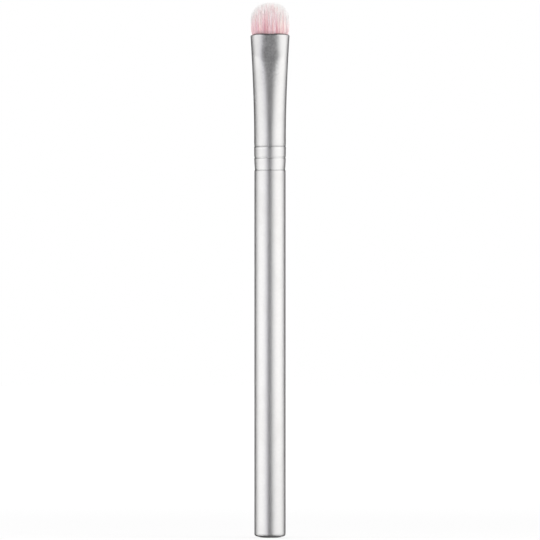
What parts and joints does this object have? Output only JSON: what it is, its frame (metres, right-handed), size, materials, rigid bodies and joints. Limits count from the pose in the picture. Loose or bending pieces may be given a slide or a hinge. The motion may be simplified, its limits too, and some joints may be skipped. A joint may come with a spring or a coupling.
{
  "type": "eyeshadow brush",
  "caption": "Slim eyeshadow brush with a straight satin aluminium handle, a crimped ferrule pressed flat to an oval mouth, and a short domed tuft that fades from pink to white.",
  "frame": {"origin": "centre of the butt's flat land, on the surface that the brush stands on", "axes": "+Z along the brush from the butt to the bristles, +X across the wide side of the ferrule's mouth, +Y through its thickness"},
  "size_m": [0.012, 0.0098, 0.165],
  "materials": {
    "handle_metal": "satin",
    "ferrule_metal": "satin",
    "dowel_wood": "turned, unfinished",
    "clear_glue": "cured",
    "potting_resin": "cured",
    "binding_thread": "waxed",
    "bristle": "fine tapered fibres, pink at the root and nearly white at the tip"
  },
  "bodies": {
    "root": {"handle_tube": "handle_metal", "core_dowel": "dowel_wood", "dowel_glue": "clear_glue", "ferrule": "ferrule_metal", "ferrule_glue": "clear_glue", "potting_plug": "potting_resin", "root_binding": "binding_thread", "bristle_tuft": "bristle"}
  },
  "joints": []
}
